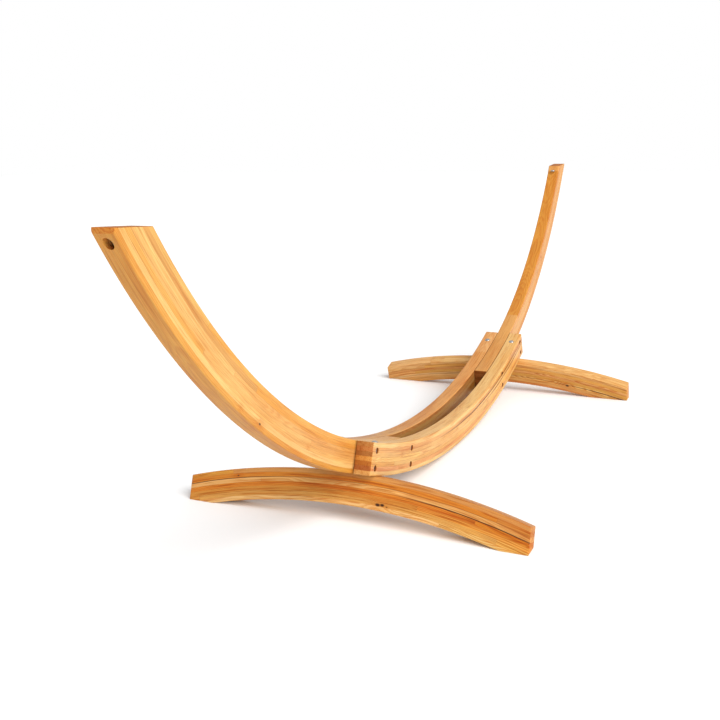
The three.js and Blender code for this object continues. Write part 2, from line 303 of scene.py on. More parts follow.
class Wiring:
    """Adds nodes to one material. Inputs are other nodes' sockets or plain values."""

    def __init__(self, material):
        material.use_nodes = True
        self.tree = material.node_tree
        self.shader = self.tree.nodes["Principled BSDF"]

    def feed(self, socket, value):
        if isinstance(value, bpy.types.NodeSocket):
            self.tree.links.new(value, socket)
        elif value is not None:
            socket.default_value = value

    def add(self, kind, inputs=(), **settings):
        made = self.tree.nodes.new("ShaderNode" + kind)
        for key, value in settings.items():
            setattr(made, key, value)
        for socket, value in zip(made.inputs, inputs):
            self.feed(socket, value)
        return made

    def number(self, operation, *inputs, clamp=False):
        return self.add("Math", inputs, operation=operation, use_clamp=clamp).outputs[0]

    def total(self, *terms):
        result = terms[0]
        for term in terms[1:]:
            result = self.number("ADD", result, term)
        return result

    def times(self, *factors):
        result = factors[0]
        for factor in factors[1:]:
            result = self.number("MULTIPLY", result, factor)
        return result

    def vector(self, x, y, z):
        return self.add("CombineXYZ", (x, y, z)).outputs[0]

    def parts(self, vector):
        return self.add("SeparateXYZ", (vector,)).outputs[:]

    def stretch(self, vector, scale):
        return self.add("VectorMath", (vector, scale), operation="MULTIPLY").outputs[0]

    def noise(self, vector, detail=2.0, roughness=0.5, scale=1.0):
        made = self.add("TexNoise")
        self.feed(made.inputs["Vector"], vector)
        self.feed(made.inputs["Scale"], scale)
        self.feed(made.inputs["Detail"], detail)
        self.feed(made.inputs["Roughness"], roughness)
        return made.outputs[0]

    def random(self, vector):
        """Three numbers from 0 to 1, the same wherever the vector is the same."""
        colour = self.add("TexWhiteNoise", noise_dimensions="3D")
        self.feed(colour.inputs["Vector"], vector)
        return self.parts(colour.outputs["Color"])

    def span(self, value, low, high, to_low=0.0, to_high=1.0, smooth=True):
        """Maps low..high to to_low..to_high, held at both ends."""
        kind = "SMOOTHSTEP" if smooth else "LINEAR"
        made = self.add("MapRange", interpolation_type=kind, clamp=True)
        for key, setting in zip(
            ("Value", "From Min", "From Max", "To Min", "To Max"),
            (value, low, high, to_low, to_high),
        ):
            self.feed(made.inputs[key], setting)
        return made.outputs[0]

    def steps(self, value, colours):
        """A ramp of flat steps, one for each colour."""
        ramp = self.add("ValToRGB", (value,))
        band = ramp.color_ramp
        band.interpolation = "CONSTANT"
        band.elements.remove(band.elements[1])
        band.elements[0].color = (*colours[0], 1)
        for i, colour in enumerate(colours[1:], 1):
            band.elements.new(i / len(colours)).color = (*colour, 1)
        return ramp.outputs[0]

    def mix(self, amount, first, second, blend="MIX"):
        made = self.add("Mix", data_type="RGBA", blend_type=blend, clamp_factor=True)
        self.feed(made.inputs[0], amount)
        for socket, colour in ((made.inputs[6], first), (made.inputs[7], second)):
            self.feed(socket, (*colour, 1) if isinstance(colour, tuple) else colour)
        return made.outputs[2]


def shifted(wires, vector, shift):
    return wires.add("VectorMath", (vector, (shift, shift, shift)), operation="ADD").outputs[0]


# Tones of larch boards under oil, from sapwood to heartwood.
PALE = (0.71, 0.45, 0.165)
HONEY = (0.66, 0.37, 0.105)
AMBER = (0.61, 0.29, 0.062)
ROSE = (0.63, 0.335, 0.120)
RUSSET = (0.56, 0.22, 0.036)

# How the cut end of each board shades the colour: rings that meet the cut steeply look darker.
END_SHADES = (
    (0.55, 0.36, 0.22), (0.74, 0.52, 0.37), (0.50, 0.32, 0.20), (0.82, 0.62, 0.42),
    (0.64, 0.43, 0.28), (0.55, 0.37, 0.25), (0.90, 0.76, 0.66),
)


def larch(name, seed, boards, knots, splits=(), figure=1.0, ends=0.9):
    """Oiled larch glued up from boards. `boards` are their tones from the hollow side down,
    `knots` are (along, down, size) on the side faces, and `splits` are fine drying cracks, each
    (down, first along, last along, width, side). `figure` and `ends` are how strongly the grain
    shows along the timber and how dark its cut ends are."""
    material = bpy.data.materials.new(name)
    wires = Wiring(material)
    shader = wires.shader
    number, times, total, span = wires.number, wires.times, wires.total, wires.span
    lay = wires.add("Attribute", attribute_name="lay").outputs["Vector"]
    cut = span(wires.add("Attribute", attribute_name="cut").outputs["Fac"], 0.28, 0.60)
    # How much shade is painted here, in grooves, counterbores and the slot between the rails.
    painted_shade = wires.add("Attribute", attribute_name="painted_shade").outputs["Fac"]
    along, across, down = wires.parts(lay)

    # The board that a point is in, and the length of timber within that board: lengths are joined
    # end to end by fingers cut through the board's face.
    length = 1.17
    finger_pitch, finger_length = 0.0076, 0.010
    in_boards = number("DIVIDE", down, BOARD)
    board = number("MINIMUM", number("MAXIMUM", number("FLOOR", in_boards), 0.0), BOARDS - 1.0)
    down_in_board = times(number("SUBTRACT", in_boards, total(board, 0.5)), BOARD)
    board_start = wires.random(wires.vector(board, seed, 0.0))[0]
    zigzag = number("PINGPONG", total(across, 1.0), finger_pitch / 2)
    fingered = total(along, times(zigzag, 2 * finger_length / finger_pitch))
    in_lengths = total(number("DIVIDE", fingered, length), times(board_start, 7.0))
    length_no = number("FLOOR", in_lengths)
    one, two, three = wires.random(wires.vector(board, length_no, seed + 0.5))
    four, five, six = wires.random(wires.vector(board, length_no, seed + 3.5))

    # Knots: dark cores that the growth rings bend around.
    core, swirl = 0.0, 0.0
    for knot_along, knot_down, size in knots:
        off = wires.vector(
            times(number("SUBTRACT", along, knot_along), 0.60),
            times(across, 0.06),
            number("SUBTRACT", down, knot_down),
        )
        distance = wires.add("VectorMath", (off,), operation="LENGTH").outputs["Value"]
        core = number("MAXIMUM", core, span(distance, size * 0.30, size * 0.75, 1.0, 0.0))
        swirl = number("MAXIMUM", swirl, span(distance, 0.0, size * 4.5, 1.0, 0.0))

    # Growth rings about a pith line that lies outside most boards and wanders along them, so that
    # they come out as straight lines, as flames, or as arches.
    wander = wires.add("TexNoise")
    wires.feed(wander.inputs["Vector"], wires.vector(times(along, 1.7), times(one, 40.0), board))
    wires.feed(wander.inputs["Scale"], 1.0)
    wires.feed(wander.inputs["Detail"], 2.0)
    drift = wires.parts(wander.outputs["Color"])
    sideways = total(across, times(total(one, -0.5), 0.09), times(total(drift[0], -0.5), 0.08))
    depthways = total(
        down_in_board, times(total(two, -0.5), 0.18), times(total(drift[1], -0.5), 0.09)
    )
    from_pith = wires.add(
        "VectorMath", (wires.vector(sideways, depthways, 0.0),), operation="LENGTH"
    ).outputs["Value"]
    wobble = wires.noise(wires.stretch(lay, (6.0, 80.0, 80.0)), detail=3.0)
    ring_place = total(
        from_pith, times(wobble, 0.0042), times(swirl, 0.007), times(along, 0.004)
    )
    rings = number("FRACT", total(times(ring_place, span(three, 0.0, 1.0, 190.0, 380.0)), six))
    late = number(
        "MULTIPLY", span(rings, 0.20, 0.84), span(rings, 0.88, 1.0, 1.0, 0.0), clamp=True
    )

    # Fine fibre, resin streaks, flames of heartwood, and slow changes of tone.
    own = wires.vector(
        along, total(across, times(one, 3.0)), total(down, times(board, 0.37))
    )
    fibre = wires.noise(wires.stretch(own, (14.0, 760.0, 760.0)), detail=4.0, roughness=0.65)
    line = wires.noise(wires.stretch(own, (3.2, 330.0, 330.0)), detail=3.0, roughness=0.55)
    streak = span(line, 0.56, 0.74)
    shifted_own = shifted(wires, own, 2 * seed)
    coarse = wires.noise(wires.stretch(shifted_own, (5.5, 170.0, 170.0)), detail=4.0)
    grain = span(coarse, 0.53, 0.66)
    light_line = span(line, 0.26, 0.44, 1.0, 0.0)
    flame = span(
        wires.noise(wires.stretch(shifted(wires, own, seed), (4.2, 95.0, 95.0)), detail=3.0),
        0.52, 0.70,
    )
    cloud = wires.noise(wires.stretch(shifted(wires, lay, seed), (2.6, 17.0, 17.0)), detail=3.0)
    patch = wires.noise(wires.stretch(shifted(wires, lay, -seed), (5.0, 30.0, 30.0)), detail=3.0)

    # Glue lines between boards and the finger joints, a little open in places.
    nearest = number("ROUND", in_boards)
    to_glue = times(number("ABSOLUTE", number("SUBTRACT", in_boards, nearest)), BOARD)
    inside = times(
        number("GREATER_THAN", nearest, 0.5), number("LESS_THAN", nearest, BOARDS - 0.5)
    )
    openness = span(
        wires.noise(wires.vector(times(along, 3.1), times(nearest, 5.3), seed), detail=2.0),
        0.40, 0.70, 0.15, 1.0,
    )
    glue = times(span(to_glue, 0.00010, 0.00065, 1.0, 0.0), inside, openness)
    in_length = number("FRACT", in_lengths)
    to_joint = times(number("MINIMUM", in_length, number("SUBTRACT", 1.0, in_length)), length)
    finger = span(to_joint, 0.0001, 0.0012, 0.6, 0.0)
    seam = number("MAXIMUM", glue, finger)

    # Drying cracks that follow the grain on one side face, finest at their ends.
    crack = 0.0
    for crack_down, first, last, width, side in splits:
        stray = times(total(wobble, -0.5), 0.0022)
        off_line = number("ABSOLUTE", total(down, -crack_down, stray))
        on_face = number("GREATER_THAN", times(across, float(side)), 0.024)
        gap = times(span(off_line, width * 0.35, width * 0.75, 1.0, 0.0), on_face)
        taper = (last - first) * 0.35
        opens = span(along, first, first + taper)
        runs = times(opens, span(along, last - taper, last, 1.0, 0.35))
        crack = number("MAXIMUM", crack, times(gap, runs))

    # Colour.
    board_place = number("DIVIDE", total(board, 0.5), float(BOARDS))
    tone = wires.steps(board_place, boards)
    vary = wires.add("HueSaturation")
    wires.feed(vary.inputs["Hue"], span(four, 0.0, 1.0, 0.492, 0.504, smooth=False))
    wires.feed(vary.inputs["Saturation"], span(five, 0.0, 1.0, 0.95, 1.05, smooth=False))
    wires.feed(vary.inputs["Value"], span(two, 0.0, 1.0, 0.93, 1.06, smooth=False))
    wires.feed(vary.inputs["Color"], tone)
    colour = vary.outputs[0]
    late_amount = times(
        late, span(five, 0.0, 1.0, 0.5, 1.0), total(0.80 * figure, times(cut, 0.5))
    )
    colour = wires.mix(late_amount, colour, (0.80, 0.56, 0.34), "MULTIPLY")
    colour = wires.mix(times(span(cloud, 0.40, 0.66), 0.9), colour, (0.90, 0.79, 0.66), "MULTIPLY")
    colour = wires.mix(times(span(patch, 0.50, 0.72), 0.6), colour, (1.04, 1.03, 0.90), "MULTIPLY")
    colour = wires.mix(times(flame, 0.70 * figure), colour, (0.86, 0.62, 0.40), "MULTIPLY")
    colour = wires.mix(times(streak, 0.80 * figure), colour, (0.74, 0.50, 0.30), "MULTIPLY")
    colour = wires.mix(times(grain, 0.75 * figure), colour, (0.70, 0.52, 0.34), "MULTIPLY")
    colour = wires.mix(times(light_line, 0.6), colour, (1.12, 1.20, 1.30), "MULTIPLY")
    fibre_shade = span(fibre, 0.25, 0.75, 0.80, 1.13)
    grey = wires.vector(fibre_shade, fibre_shade, fibre_shade)
    colour = wires.mix(1.0, colour, grey, "MULTIPLY")
    colour = wires.mix(times(swirl, 0.6), colour, (0.86, 0.62, 0.40), "MULTIPLY")
    shade = wires.steps(board_place, END_SHADES)
    colour = wires.mix(times(cut, ends), colour, shade, "MULTIPLY")
    colour = wires.mix(times(seam, 0.55), colour, (0.26, 0.10, 0.025))
    # Painted shade in the arm-rail grooves, the joint counterbores and the slot between the rails.
    colour = wires.mix(times(painted_shade, 0.85), colour, (0.15, 0.042, 0.006))
    colour = wires.mix(times(crack, 0.9), colour, (0.05, 0.016, 0.005))
    colour = wires.mix(core, colour, (0.045, 0.016, 0.007))
    wires.feed(shader.inputs["Base Color"], colour)

    roughness = total(
        0.38, times(fibre, 0.14), times(cut, 0.18), times(seam, 0.2), times(late, -0.06)
    )
    wires.feed(shader.inputs["Roughness"], roughness)
    hollows = total(times(seam, -1.6), times(core, -1.2), times(crack, -2.5))
    height = total(times(late, 0.35), times(fibre, 0.45), hollows)
    bump = wires.add("Bump")
    wires.feed(bump.inputs["Strength"], 0.55)
    wires.feed(bump.inputs["Distance"], 0.00020)
    wires.feed(bump.inputs["Height"], height)
    wires.feed(shader.inputs["Normal"], bump.outputs[0])
    shader.inputs["Specular IOR Level"].default_value = 0.16
    shader.inputs["Coat Weight"].default_value = 0.03
    shader.inputs["Coat Roughness"].default_value = 0.28
    return material


def finish_piece(piece, material, node):
    """Gives a piece its finish, puts it on the frame, and lets it stand for its plain solid."""
    piece.data.materials.clear()
    piece.data.materials.append(material)
    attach(piece, "root")
    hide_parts(node)


rail_arc = Arc(RAIL_CENTRE, RAIL_RADIUS, RAIL_END * 2)
front_rail = start_beam("front_rail_timber", RAIL_CENTRE, RAIL_Y, RAIL_RADIUS, -RAIL_END)
bend_on(RAIL_CENTRE, 2 * RAIL_END)
leave_edit()
close_up(front_rail)


def lies_along(arcs):
    """Accepts the long edges of a beam."""

    def wanted(edge):
        middle = (edge.verts[0].co + edge.verts[1].co) / 2
        arc = next(a for a in arcs if a.angle(middle) <= a.up_to or a is arcs[-1])
        way = (edge.verts[1].co - edge.verts[0].co).normalized()
        return abs(way.dot(arc.grain(middle))) > 0.95

    return wanted


round_edges(front_rail, LONG_EDGE, 5, lies_along([rail_arc]))
round_edges(front_rail, SAWN_EDGE, 3, lambda edge: True)

POCKET_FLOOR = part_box("left_joint_inner_upper_head_washer")[1].y + FIT_GAP
bits = []
sockets = []
for end in ENDS:
    for axis in JOINT_AXES[end]:
        bit = drill_bit(JOINT_COUNTERBORE, BOLT_HOLE, 0.05)
        bits.append(pointed(bit, Vector((axis.x, POCKET_FLOOR, axis.z)), (0, -1, 0)))
    side = -1 if end == "left" else 1
    down = Vector((side * math.sin(FOOT_LEAN), 0, -math.cos(FOOT_LEAN)))
    top = Vector((0, RAIL_Y, RAIL_CENTRE.z)) + RAIL_RADIUS * down
    bits.append(pointed(plain_bit(BOLT_HOLE, 2 * BEAM_DEPTH), top + BEAM_DEPTH / 2 * down, down))
    bpy.ops.mesh.primitive_cube_add(
        size=1, location=top, rotation=(0, -side * FOOT_LEAN, 0),
        scale=(NECK_SOCKET, NECK_SOCKET, 2 * NECK_SOCKET_DEPTH),
    )
    socket = bpy.context.object
    apply_place(socket)
    sockets.append(socket)
bore(front_rail, bits)
bore(front_rail, sockets)
round_edges(front_rail, RIM_EDGE, 2, lambda edge: edge.calc_length() < 0.004)

back_rail = copy_of(front_rail, "back_rail_timber")
back_rail.matrix_world = Matrix.Rotation(math.pi, 4, "Z")
apply_place(back_rail)

# The last argument gives the shade painted into grooves, counterbores and the slot.
mark_grain(front_rail, [rail_arc], RAIL_Y, painted_joint_shade)
mark_grain(back_rail, [rail_arc], -RAIL_Y, painted_joint_shade)
front_boards = (PALE, ROSE, PALE, PALE, HONEY, ROSE, PALE)
back_boards = (ROSE, HONEY, PALE, AMBER, HONEY, ROSE, HONEY)
finish_piece(
    front_rail,
    larch(
        "front rail larch", 11.0, front_boards, ((-0.71, 0.040, 0.004), (0.36, 0.058, 0.005)),
        ((0.0305, -0.45, 1.30, 0.0048, -1), (0.047, 0.10, 1.30, 0.0036, -1)), 0.85,
    ),
    "front_rail",
)
finish_piece(
    back_rail,
    larch("back rail larch", 23.0, back_boards, ((0.43, 0.075, 0.006),), (), 0.85),
    "back_rail",
)

# --- Arms -----------------------------------------------------------------------------------------
# One long glued beam on each side. It follows the rails' arc between them, bends up more tightly
# past them, and is sawn nearly level at the tip, with the point blunted. Four bolts and the eye
# bolt pass through it; the eye's nut sits in a deep counterbore in the outer face.
ARM_RADIUS = 2.195
ARM_BLEND = math.radians(17.7)
TIP_FALL = 0.009  # how much lower the sawn end is at its inner edge
EYE_COUNTERBORE = 0.027

arm_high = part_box("right_arm")[1]
TIP_HEIGHT = arm_high.z
blend_way = Vector((math.sin(ARM_BLEND), 0, -math.cos(ARM_BLEND)))
ARM_CENTRE = RAIL_CENTRE + (RAIL_RADIUS - ARM_RADIUS) * blend_way
rail_middle, arm_middle = RAIL_RADIUS + BEAM_DEPTH / 2, ARM_RADIUS + BEAM_DEPTH / 2
lower_arc = Arc(RAIL_CENTRE, RAIL_RADIUS, ARM_BLEND)
upper_arc = Arc(ARM_CENTRE, ARM_RADIUS, math.pi, ARM_BLEND * (rail_middle - arm_middle))
ARM_ARCS = [lower_arc, upper_arc]

right_arm = start_beam("right_arm_timber", RAIL_CENTRE, 0, RAIL_RADIUS, ARM_START)
bend_on(RAIL_CENTRE, ARM_BLEND - ARM_START)
beyond_tip = math.acos((ARM_CENTRE.z - TIP_HEIGHT) / (ARM_RADIUS + BEAM_DEPTH)) + SWEEP_STEP
bend_on(ARM_CENTRE, beyond_tip - ARM_BLEND)
leave_edit()
close_up(right_arm)
inner_angle = math.acos((ARM_CENTRE.z - TIP_HEIGHT + TIP_FALL) / ARM_RADIUS)
inner_x = ARM_CENTRE.x + ARM_RADIUS * math.sin(inner_angle)
saw(right_arm, (arm_high.x, 0, TIP_HEIGHT), (-TIP_FALL, 0, arm_high.x - inner_x))
saw(right_arm, (arm_high.x, 0, 0), (1, 0, 0))
close_up(right_arm)
round_edges(right_arm, LONG_EDGE, 5, lies_along(ARM_ARCS))
round_edges(right_arm, SAWN_EDGE / 2, 3, lambda edge: True)

eye_washer_low, eye_washer_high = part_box("right_eye_washer")
EYE_HEIGHT = (eye_washer_low.z + eye_washer_high.z) / 2
eye_floor = Vector((eye_washer_low.x - FIT_GAP, 0, EYE_HEIGHT))
bits = [
    pointed(plain_bit(BOLT_HOLE, 2 * BEAM_DEPTH), axis, (0, 1, 0)) for axis in JOINT_AXES["right"]
]
bits.append(pointed(drill_bit(EYE_COUNTERBORE, BOLT_HOLE, 0.1), eye_floor, (1, 0, 0)))
bore(right_arm, bits)
round_edges(right_arm, RIM_EDGE, 2, lambda edge: edge.calc_face_angle(0) < math.radians(100))

left_arm = copy_of(right_arm, "left_arm_timber")
# The last argument gives the shade painted into grooves, counterbores and the slot.
mark_grain(right_arm, ARM_ARCS, 0.0, painted_joint_shade)
mark_grain(left_arm, ARM_ARCS, 0.0, painted_joint_shade)
left_arm.matrix_world = Matrix.Rotation(math.pi, 4, "Z")
apply_place(left_arm)
left_boards = (HONEY, AMBER, HONEY, HONEY, HONEY, PALE, AMBER)
right_boards = (AMBER, ROSE, HONEY, ROSE, HONEY, AMBER, ROSE)
left_knots = ((1.661, 0.099, 0.0066), (1.777, 0.100, 0.0036), (1.35, 0.073, 0.0034))
right_knots = ((1.72, 0.045, 0.0070), (1.62, 0.062, 0.0045))
finish_piece(
    left_arm, larch("left arm larch", 5.0, left_boards, left_knots, (), 0.6, 1.0),
    "left_arm",
)
finish_piece(
    right_arm, larch("right arm larch", 31.0, right_boards, right_knots, (), 0.6, 1.0),
    "right_arm",
)

# --- Cross feet -----------------------------------------------------------------------------------
# Each foot is an arched glued beam that leans square to the arc above it. Its crown is planed to a
# flat seat for the rails, its ends are sawn upright, and it is sawn level where it meets the
# ground.
FOOT_RADIUS = 2.320  # upper face
FOOT_HOLLOW = FOOT_RADIUS - BEAM_DEPTH
FOOT_SEAT = 0.002
FOOT_COUNTERBORE = 0.026
FOOT_POCKET = 0.024

FOOT_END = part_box("right_foot")[1].y
foot_centre = Vector((0, 0, FOOT_SEAT - FOOT_RADIUS))
half_turn = math.asin(FOOT_END / FOOT_HOLLOW) + SWEEP_STEP
right_foot = start_beam("right_foot_timber", foot_centre, 0, FOOT_HOLLOW, math.pi - half_turn)
bend_on(foot_centre, 2 * half_turn)
leave_edit()
close_up(right_foot)
for side in (-1, 1):
    saw(right_foot, (side * FOOT_END, 0, 0), (side, 0, 0))
close_up(right_foot)


class Arch(Arc):
    """A beam that is arched instead of hollow: its lowest point is the top of the circle."""

    def lay(self, point):
        off = Vector((point.x - self.centre.x, point.z - self.centre.z))
        along = math.atan2(off.x, off.y) * (self.radius + BEAM_DEPTH / 2)
        return along, point.y, BEAM_DEPTH + self.radius - off.length

    def grain(self, point):
        angle = math.atan2(point.x - self.centre.x, point.z - self.centre.z)
        return Vector((math.cos(angle), 0, -math.sin(angle)))


foot_arch = Arch(foot_centre, FOOT_HOLLOW, math.pi)
seat_way = Vector((math.sin(FOOT_LEAN), 0, -math.cos(FOOT_LEAN)))
seat_point = RAIL_CENTRE + (RAIL_RADIUS + BEAM_DEPTH + FIT_GAP) * seat_way
foot_place = (
    Matrix.Translation(seat_point)
    @ Matrix.Rotation(-FOOT_LEAN, 4, "Y")
    @ Matrix.Rotation(math.pi / 2, 4, "Z")
)
round_edges(right_foot, LONG_EDGE, 5, lies_along([foot_arch]))
to_bench = foot_place.inverted()
saw(right_foot, to_bench @ Vector((0, 0, 0)), to_bench.to_3x3() @ Vector((0, 0, -1)))
close_up(right_foot)
round_edges(right_foot, RIM_EDGE, 2, lambda edge: True)

bpy.ops.mesh.primitive_cube_add(size=1, location=(0, 0, BEAM_WIDTH / 2))
planed_off = bpy.context.object
planed_off.scale = (3 * abs(RAIL_Y), 2 * BEAM_WIDTH, BEAM_WIDTH)
apply_place(planed_off)
combine(right_foot, planed_off, "DIFFERENCE")
bits = []
for across in (-RAIL_Y, RAIL_Y):
    pocket_floor = Vector((across, 0, FOOT_POCKET - BEAM_DEPTH))
    bits.append(pointed(drill_bit(FOOT_COUNTERBORE, BOLT_HOLE, 0.1), pocket_floor, (0, 0, -1)))
bore(right_foot, bits)
round_edges(right_foot, RIM_EDGE, 2, lambda edge: abs(edge.verts[0].co.x) < 0.085)

left_foot = copy_of(right_foot, "left_foot_timber")
left_boards = (AMBER, RUSSET, HONEY, RUSSET, AMBER, HONEY, PALE)
right_boards = (PALE, HONEY, ROSE, HONEY, PALE, HONEY, AMBER)
left_knots = (
    (0.114, 0.094, 0.0105), (0.131, 0.092, 0.0095), (0.148, 0.095, 0.0050), (-0.444, 0.025, 0.0055)
)
right_knots = ((-0.354, 0.078, 0.0095),)
left_splits = ((0.049, 0.10, 0.80, 0.0036, -1), (0.033, -0.80, -0.20, 0.0024, -1))
right_splits = ((0.0725, -0.80, -0.35, 0.0046, 1),)
for foot, turn, boards, seed, knots, splits, node in (
    (left_foot, math.pi, left_boards, 43.0, left_knots, left_splits, "left_foot"),
    (right_foot, 0.0, right_boards, 59.0, right_knots, right_splits, "right_foot"),
):
    mark_grain(foot, [foot_arch])
    foot.matrix_world = Matrix.Rotation(turn, 4, "Z") @ foot_place
    apply_place(foot)
    timber = larch(node.replace("_", " ") + " larch", seed, boards, knots, splits, 1.3, 0.05)
    finish_piece(foot, timber, node)

# --- Joint bolts ----------------------------------------------------------------------------------
# Four M10 hexagon bolts clamp each arm between the rails, with a washer under each head and under
# each nut. They are cold-headed steel with rolled threads, zinc-plated, and sit below the surface.
BOLT = 0.010
ACROSS_FLATS = 0.017
HEAD_HEIGHT = 0.0064
NUT_HEIGHT = 0.0084
NUT_BORE = 0.0106
WASHER = 0.002
PAST_NUT = 0.0025
THREAD_PITCH = 0.0015
THREAD_LENGTH = 0.032
JOINT_WASHER = 0.021


def turned_bar(diameter, low, high, chamfer=0.0):
    """A round bar about Z with its lower end chamfered."""
    bpy.ops.mesh.primitive_cylinder_add(
        vertices=48, radius=diameter / 2, depth=high - low, location=(0, 0, (low + high) / 2)
    )
    bar = bpy.context.object
    apply_place(bar)
    if chamfer:
        pick(bar, "FACE", lambda face: face.normal.z < -0.9)
        bpy.ops.mesh.bevel(offset=chamfer, segments=1, affect="EDGES")
        leave_edit()
    return bar


def hexagon(height, both_ends=False):
    """A hexagonal blank from z = 0 up, with its corners turned off at the top."""
    corner = ACROSS_FLATS / math.sqrt(3)
    over = 0.001
    bpy.ops.mesh.primitive_cylinder_add(
        vertices=6, radius=corner, depth=height + over, location=(0, 0, (height + over) / 2)
    )
    blank = bpy.context.object
    apply_place(blank)
    for upwards in (1, -1) if both_ends else (1,):
        crown = corner - 0.0015
        tall = height + over
        bpy.ops.mesh.primitive_cone_add(
            vertices=72, radius1=crown + tall * math.sqrt(3), radius2=crown, depth=tall,
            location=(0, 0, (height - upwards * over) / 2),
            rotation=(0 if upwards > 0 else math.pi, 0, 0),
        )
        cone = bpy.context.object
        apply_place(cone)
        combine(blank, cone, "INTERSECT")
    return blank


def thread(low, high):
    """A rolled thread about Z, from one height to another, with its lower end chamfered."""
    bpy.ops.mesh.primitive_circle_add(vertices=3, radius=1)
    ridge = bpy.context.object
    tooth = 0.0009
    ridge.matrix_world = Matrix((
        (0, tooth / 1.5, 0, BOLT / 2 - tooth / 1.5),
        (0, 0, 1, 0),
        (THREAD_PITCH / math.sqrt(3), 0, 0, high + THREAD_PITCH),
        (0, 0, 0, 1),
    ))
    apply_place(ridge)
    pick(ridge, "EDGE", lambda edge: max(v.co.x for v in edge.verts) < BOLT / 2 - tooth / 2)
    bpy.ops.mesh.delete(type="EDGE")
    bpy.ops.mesh.select_mode(type="VERT")
    bpy.ops.mesh.select_all(action="SELECT")
    turns = math.ceil((high - low) / THREAD_PITCH) + 3
    bpy.ops.mesh.screw(steps=24, turns=turns, center=(0, 0, 0), axis=(0, 0, 1))
    leave_edit()
    close_up(ridge)
    saw(ridge, (0, 0, high), (0, 0, 1))
    saw(ridge, (0, 0, low - THREAD_PITCH), (0, 0, -1))
    close_up(ridge)
    combine(ridge, turned_bar(BOLT - 0.0002, low, high + 0.01, 0.0009), "INTERSECT")
    return ridge


def hex_bolt(length):
    """A bolt whose head stands on z = 0, with its shank pointing down."""
    bolt = hexagon(HEAD_HEIGHT)
    pick(bolt, "FACE", lambda face: face.normal.z > 0.99 and face.calc_center_median().z > 0.006)
    bpy.ops.mesh.inset(thickness=0.0030)
    bpy.ops.transform.translate(value=(0, 0, -0.00035))
    leave_edit()
    shank_end = THREAD_LENGTH - length
    combine(bolt, turned_bar(BOLT - 0.0001, shank_end, HEAD_HEIGHT / 2, 0.0008), "UNION")
    combine(bolt, thread(-length, shank_end + 0.001), "UNION")
    return bolt


def washer_ring(diameter):
    """A stamped washer lying on z = 0, its upper rim a little rounded by the press."""
    bpy.ops.mesh.primitive_cylinder_add(
        vertices=64, radius=diameter / 2, depth=WASHER, location=(0, 0, WASHER / 2)
    )
    ring = bpy.context.object
    apply_place(ring)
    pick(ring, "FACE", lambda face: face.normal.z > 0.9)
    bpy.ops.mesh.bevel(offset=0.0004, segments=3, affect="EDGES")
    leave_edit()
    combine(ring, plain_bit(NUT_BORE, 0.02), "DIFFERENCE")
    return ring


def hex_nut():
    """A nut standing on z = 0, countersunk at both mouths."""
    nut = hexagon(NUT_HEIGHT, both_ends=True)
    combine(nut, plain_bit(NUT_BORE, 0.04), "DIFFERENCE")
    for upwards in (1, -1):
        bpy.ops.mesh.primitive_cone_add(
            vertices=48, radius1=0, radius2=0.0072, depth=0.0072,
            location=(0, 0, NUT_HEIGHT / 2 + upwards * (NUT_HEIGHT / 2 - 0.0022)),
            rotation=(0 if upwards > 0 else math.pi, 0, 0),
        )
        sink = bpy.context.object
        apply_place(sink)
        combine(nut, sink, "DIFFERENCE")
    return nut


def zinc_plate(name, seed, bright, dark):
    """Zinc-plated steel: a soft metallic grey, clouded by the bath and by handling."""
    material = bpy.data.materials.new(name)
    wires = Wiring(material)
    shader = wires.shader
    place = wires.add("TexCoord").outputs["Object"]
    place = shifted(wires, place, seed)
    cloud = wires.noise(place, detail=3.0, scale=140.0)
    grit = wires.noise(place, detail=2.0, scale=1900.0)
    spots = wires.noise(place, detail=1.0, scale=520.0)
    colour = wires.mix(wires.span(cloud, 0.35, 0.68), bright, dark)
    colour = wires.mix(
        wires.times(wires.span(spots, 0.62, 0.74), 0.5), colour, (0.62, 0.62, 0.60)
    )
    wires.feed(shader.inputs["Base Color"], colour)
    roughness = wires.total(0.26, wires.times(cloud, 0.20), wires.times(grit, 0.10))
    wires.feed(shader.inputs["Roughness"], roughness)
    bump = wires.add("Bump")
    wires.feed(bump.inputs["Strength"], 0.35)
    wires.feed(bump.inputs["Distance"], 0.00008)
    wires.feed(bump.inputs["Height"], wires.total(grit, wires.times(cloud, 0.6)))
    wires.feed(shader.inputs["Normal"], bump.outputs[0])
    shader.inputs["Metallic"].default_value = 1.0
    return material


def fit_bolt(name, stack, seat, turn, zinc):
    """Places one bolt with its washers and nut. `stack` holds them about Z as (part, mesh piece,
    place), the head's washer on z = 0, and `seat` is where that z = 0 lies in the stand."""
    for part, pattern, place, turns in stack:
        piece = copy_of(pattern, f"{name}_{part}_steel")
        spun = Matrix.Rotation(turn, 4, "Z") if turns else Matrix()
        piece.matrix_world = seat @ place @ spun
        apply_place(piece)
        select_only(piece)
        bpy.ops.object.shade_smooth_by_angle(angle=math.radians(28))
        finish_piece(piece, zinc, f"{name}_{part}")


def bolt_stack(grip, washer, nut, make_bolt):
    """The parts of one clamping through `grip` of timber. A hexagon head has its own washer."""
    on_washer = make_bolt is hex_bolt
    over_washer = WASHER + 2 * FIT_GAP
    under_head = over_washer if on_washer else FIT_GAP
    length = under_head + grip + over_washer + NUT_HEIGHT + PAST_NUT
    flip = Matrix.Rotation(math.pi, 4, "X")

    def raised(height):
        return Matrix.Translation((0, 0, height))

    stack = [
        ("bolt", make_bolt(length), raised(under_head), on_washer),
        ("nut_washer", washer, raised(-grip - FIT_GAP) @ flip, False),
        ("nut", nut, raised(-grip - over_washer) @ flip, True),
    ]
    if on_washer:
        stack.append(("head_washer", washer, raised(FIT_GAP), False))
    return stack


def put_away(patterns):
    for pattern in patterns:
        bpy.data.objects.remove(pattern)


